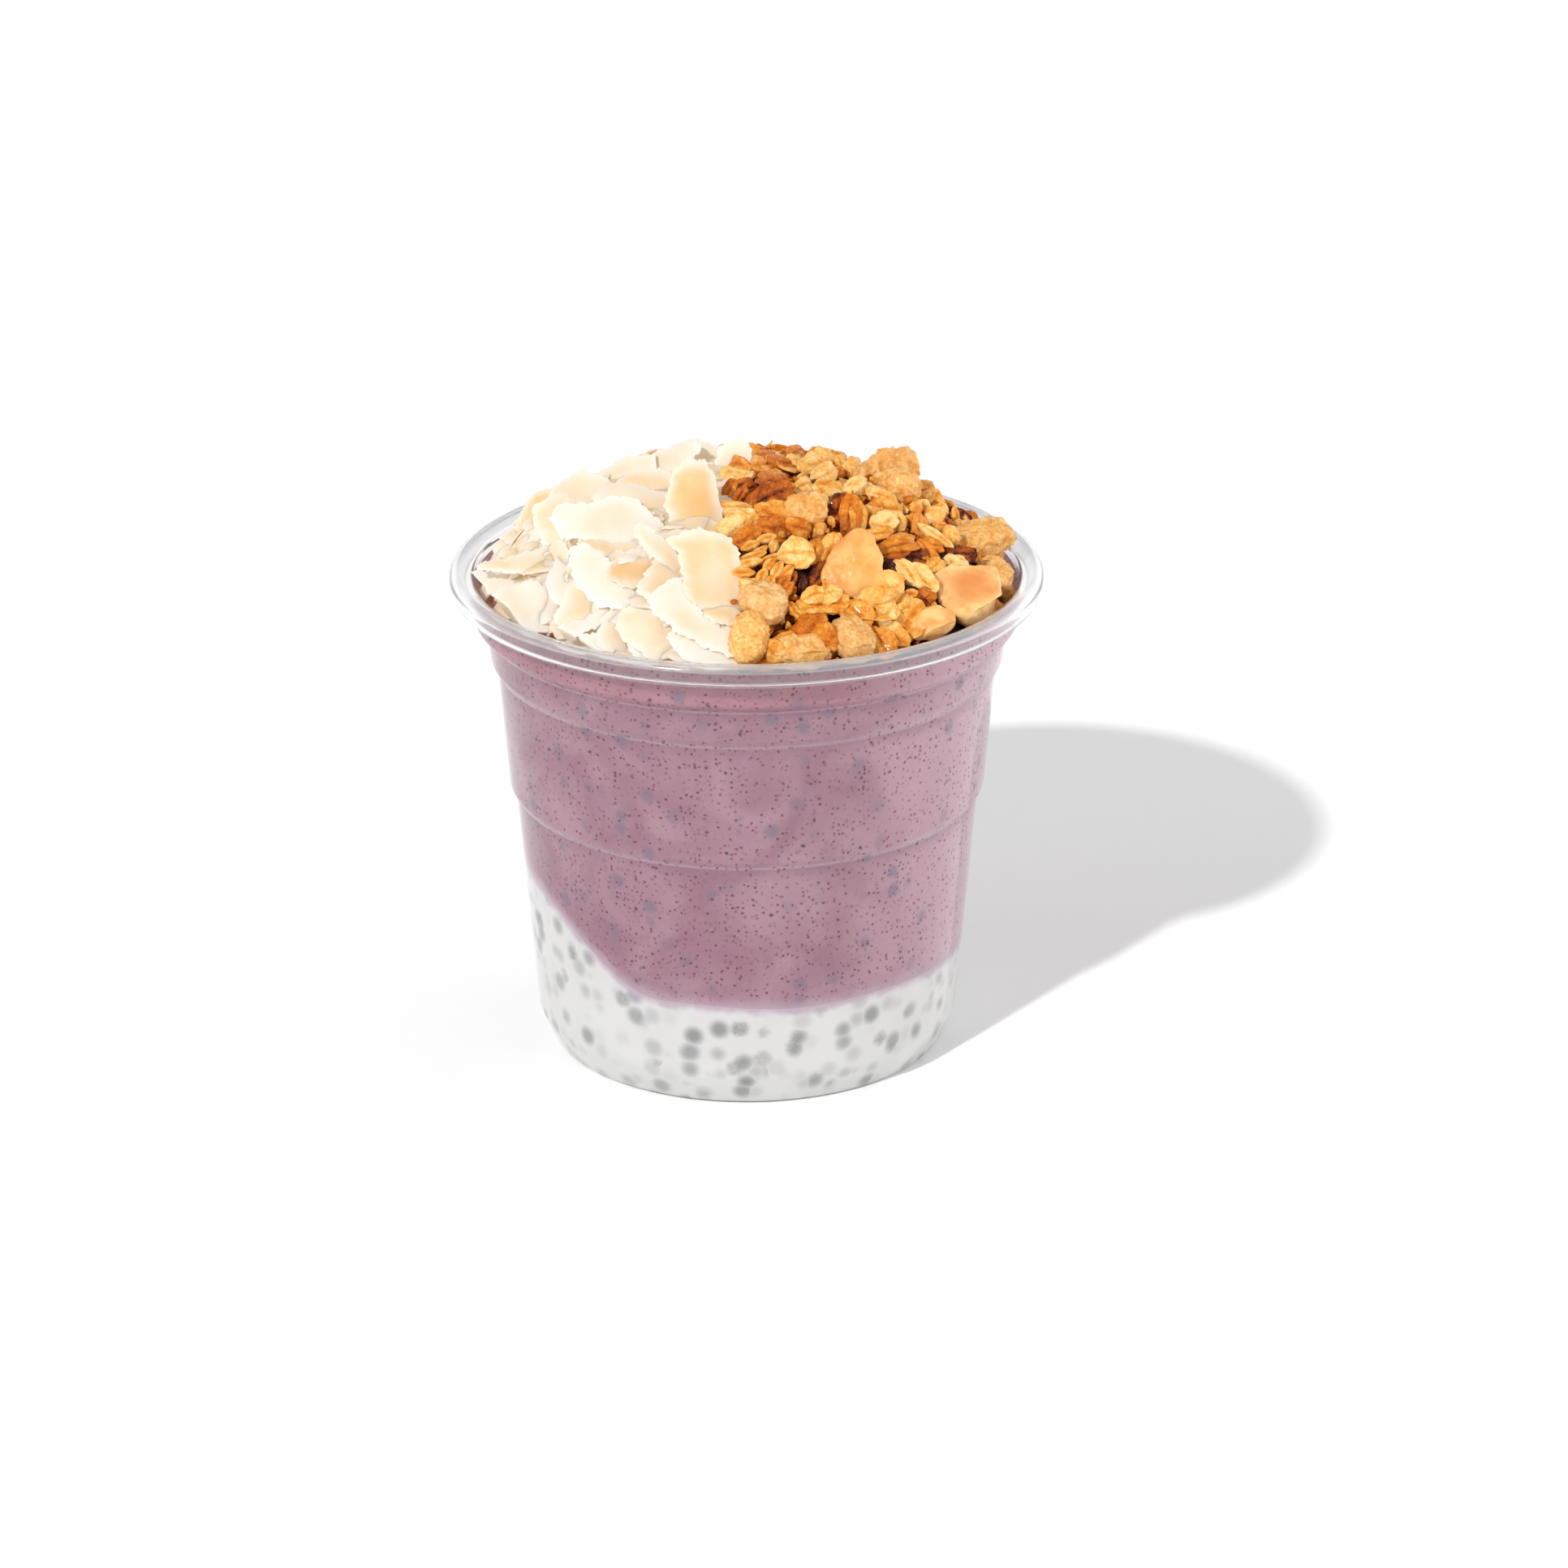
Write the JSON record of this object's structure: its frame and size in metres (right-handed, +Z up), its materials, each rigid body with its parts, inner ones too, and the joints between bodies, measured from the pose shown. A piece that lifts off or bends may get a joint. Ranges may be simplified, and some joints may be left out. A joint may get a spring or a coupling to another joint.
{
  "type": "acai yogurt oat cup",
  "caption": "Dessert in a clear stepped plastic cup: chia pudding below, acai yogurt above, topped with a heap of coconut flakes beside a heap of granola",
  "frame": {"origin": "middle of the flat underside of the cup", "axes": "+Z up along the cup's axis; -Y is the side seen in the picture; -X the coconut side, +X the granola side"},
  "size_m": [0.098, 0.098, 0.1016],
  "materials": {
    "clear_plastic": "clear, glossy",
    "chia_pudding": "moist",
    "acai_yogurt": "moist",
    "coconut": "satin",
    "granola": "glazed",
    "nut": "satin",
    "oat_puff": "satin"
  },
  "bodies": {
    "root": {"cup": "clear_plastic", "chia_pudding": "chia_pudding", "acai_yogurt": "acai_yogurt", "coconut_flakes": "coconut", "granola": "granola", "nut_chunk": "nut", "nut_petal": "nut", "nut_wedge": "nut", "nut_half": "nut", "puff_front": "oat_puff", "puff_behind": "oat_puff", "puff_low": "oat_puff", "puff_round": "oat_puff", "puff_disc": "oat_puff", "cereal_pillow": "oat_puff", "cereal_pillow_low": "oat_puff", "corn_flake": "oat_puff"}
  },
  "joints": []
}
